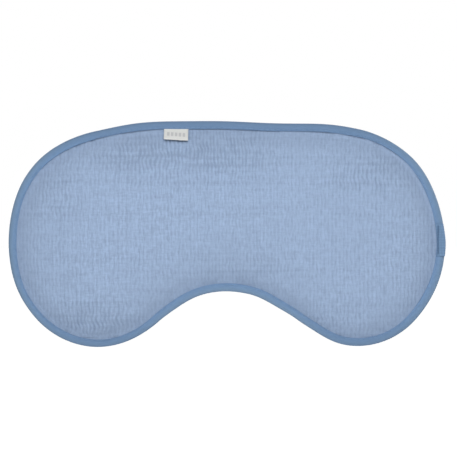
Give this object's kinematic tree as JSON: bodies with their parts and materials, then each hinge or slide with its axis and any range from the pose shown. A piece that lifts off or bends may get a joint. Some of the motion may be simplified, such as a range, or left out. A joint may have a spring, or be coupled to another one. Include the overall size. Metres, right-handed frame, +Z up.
{
  "type": "sleep mask",
  "caption": "Padded fabric sleep mask with a nose notch, bound rim, folded label and an elastic head strap with ring and slider.",
  "frame": {"origin": "middle of the back cover's face-side plane, level with the strap's middle line, on the nose's mid-plane", "axes": "+Z up and -Y to the front as worn, +X towards the ring and slider's side; +Y points at the wearer's face"},
  "size_m": [0.2139, 0.1438, 0.1095],
  "materials": {
    "gauze_front": "matte",
    "gauze_back": "matte",
    "lining": "matte",
    "wadding": "matte",
    "binding": "matte",
    "thread": "satin",
    "label": "satin",
    "elastic": "satin",
    "hardware": "satin"
  },
  "bodies": {
    "mask": {"front_cover": "gauze_front", "blackout_lining": "lining", "wadding": "wadding", "back_cover": "gauze_back", "edge_binding": "binding", "binding_stitch_front": "thread", "binding_stitch_back": "thread", "strap_root_left": "elastic", "tab_root_right": "elastic", "bartack_left": "thread", "bartack_right": "thread"},
    "label": {"woven_label": "label"},
    "strap_loop": {"ring_tab": "elastic", "tab_stitch": "thread", "ring": "hardware", "strap": "elastic", "strap_return": "elastic"},
    "adjuster": {"slider": "hardware", "strap_end_loop": "elastic", "strap_end_stitch": "thread"}
  },
  "joints": [
    {"name": "label_flap", "type": "hinge", "parent": "mask", "child": "label", "pos_m": [-0.0245, -0.0056, 0.05346], "axis": [-1, 0, 0], "range_deg": [0, 135]},
    {"name": "strap_swing", "type": "hinge", "parent": "mask", "child": "strap_loop", "pos_m": [0, 0.012, 0], "axis": [1, 0, 0], "range_deg": [-75, 75], "stiffness_Nm_per_rad": 0.05, "springref_deg": 1.72},
    {"name": "slider_slide", "type": "slide", "parent": "strap_loop", "child": "adjuster", "axis": [0, 1, 0], "range_m": [-0.011, 0.017], "deforming": ["strap_return"]}
  ]
}
